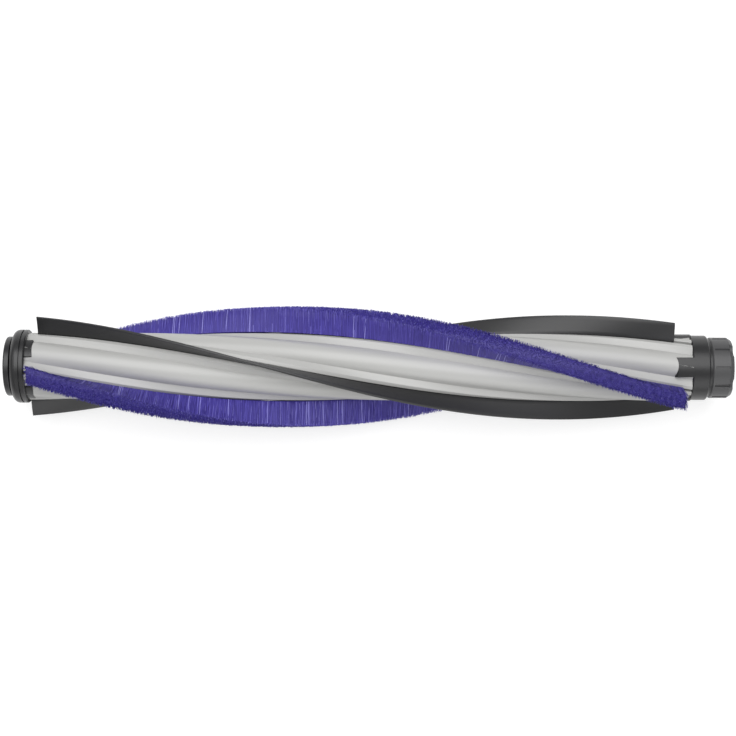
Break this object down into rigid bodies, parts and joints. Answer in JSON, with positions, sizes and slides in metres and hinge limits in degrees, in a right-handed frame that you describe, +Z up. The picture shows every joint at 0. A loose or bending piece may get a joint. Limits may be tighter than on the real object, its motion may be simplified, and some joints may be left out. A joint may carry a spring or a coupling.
{
  "type": "robot vacuum main brush",
  "caption": "Helical roller brush for a robot vacuum: ribbed core with rubber blades and bristle strips, a socketed drive cap and a ball-bearing end cap.",
  "frame": {"origin": "on the roller's axis, midway between the outer faces of the end cap and the drive cap", "axes": "+X along the axis towards the drive cap, +Z up from the surface that the roller lies on, +Y level and across the roller"},
  "size_m": [0.275, 0.0466, 0.0456],
  "materials": {
    "core_plastic": "satin",
    "blade_rubber": "satin",
    "backing_plastic": "matte",
    "bristles": "matte",
    "hub_plastic": "satin",
    "cap_plastic": "satin",
    "bearing_steel": "polished",
    "pin_steel": "satin"
  },
  "bodies": {
    "roller": {"core": "core_plastic", "blade_1": "blade_rubber", "blade_2": "blade_rubber", "bristle_backing_1": "backing_plastic", "bristle_backing_2": "backing_plastic", "bristle_pile_1": "bristles", "bristle_pile_2": "bristles", "left_hub": "hub_plastic", "bearing_outer_race": "bearing_steel", "bearing_shield_outer": "bearing_steel", "bearing_shield_inner": "bearing_steel", "right_hub": "hub_plastic", "drive_cap": "cap_plastic", "drive_screw": "pin_steel"},
    "end_cap": {"end_cap": "hub_plastic", "axle_pin": "pin_steel", "bearing_inner_race": "bearing_steel", "thrust_washer": "pin_steel", "retaining_clip": "pin_steel"},
    "ball_set": {"bearing_cage": "bearing_steel", "bearing_balls": "bearing_steel"}
  },
  "joints": [
    {"name": "end_cap_spin", "type": "hinge", "parent": "roller", "child": "end_cap", "pos_m": [-0.1375, 0, 0], "axis": [1, 0, 0], "continuous": true},
    {"name": "ball_set_spin", "type": "hinge", "parent": "roller", "child": "ball_set", "pos_m": [-0.1325, 0, 0], "axis": [1, 0, 0], "continuous": true}
  ],
  "couplings": [
    {"joint": "ball_set_spin", "follows": "end_cap_spin", "ratio": 0.375}
  ]
}
